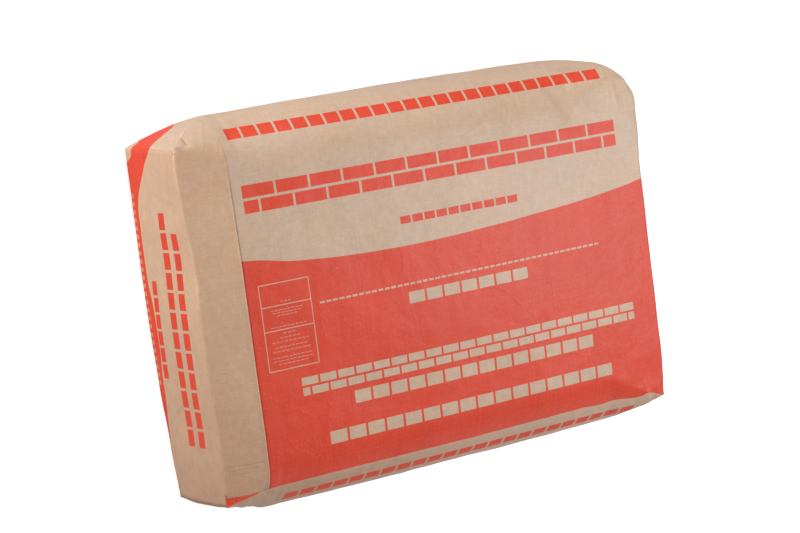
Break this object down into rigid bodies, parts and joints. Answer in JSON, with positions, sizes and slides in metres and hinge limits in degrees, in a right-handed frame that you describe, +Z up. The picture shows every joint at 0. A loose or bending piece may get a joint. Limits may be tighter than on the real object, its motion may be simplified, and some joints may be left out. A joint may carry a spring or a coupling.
{
  "type": "cement bag",
  "caption": "Filled paper sack with folded block bottoms, lying on its back: flat printed front, rounded long sides, square ends under pasted cover sheets.",
  "frame": {"origin": "under the middle of the sack, on the level it lies on", "axes": "+X along the sack, away from the end with the lapped cover sheet; +Y across it; +Z up through the front face"},
  "size_m": [0.529, 0.382, 0.103],
  "materials": {
    "printed_paper": "matte kraft paper with a red printed field and a faint sheen",
    "cover_paper": "matte brown kraft paper"
  },
  "bodies": {
    "root": {"filled_paper_tube": "printed_paper", "end_cover_left": "cover_paper", "end_cover_right": "cover_paper"}
  },
  "joints": []
}
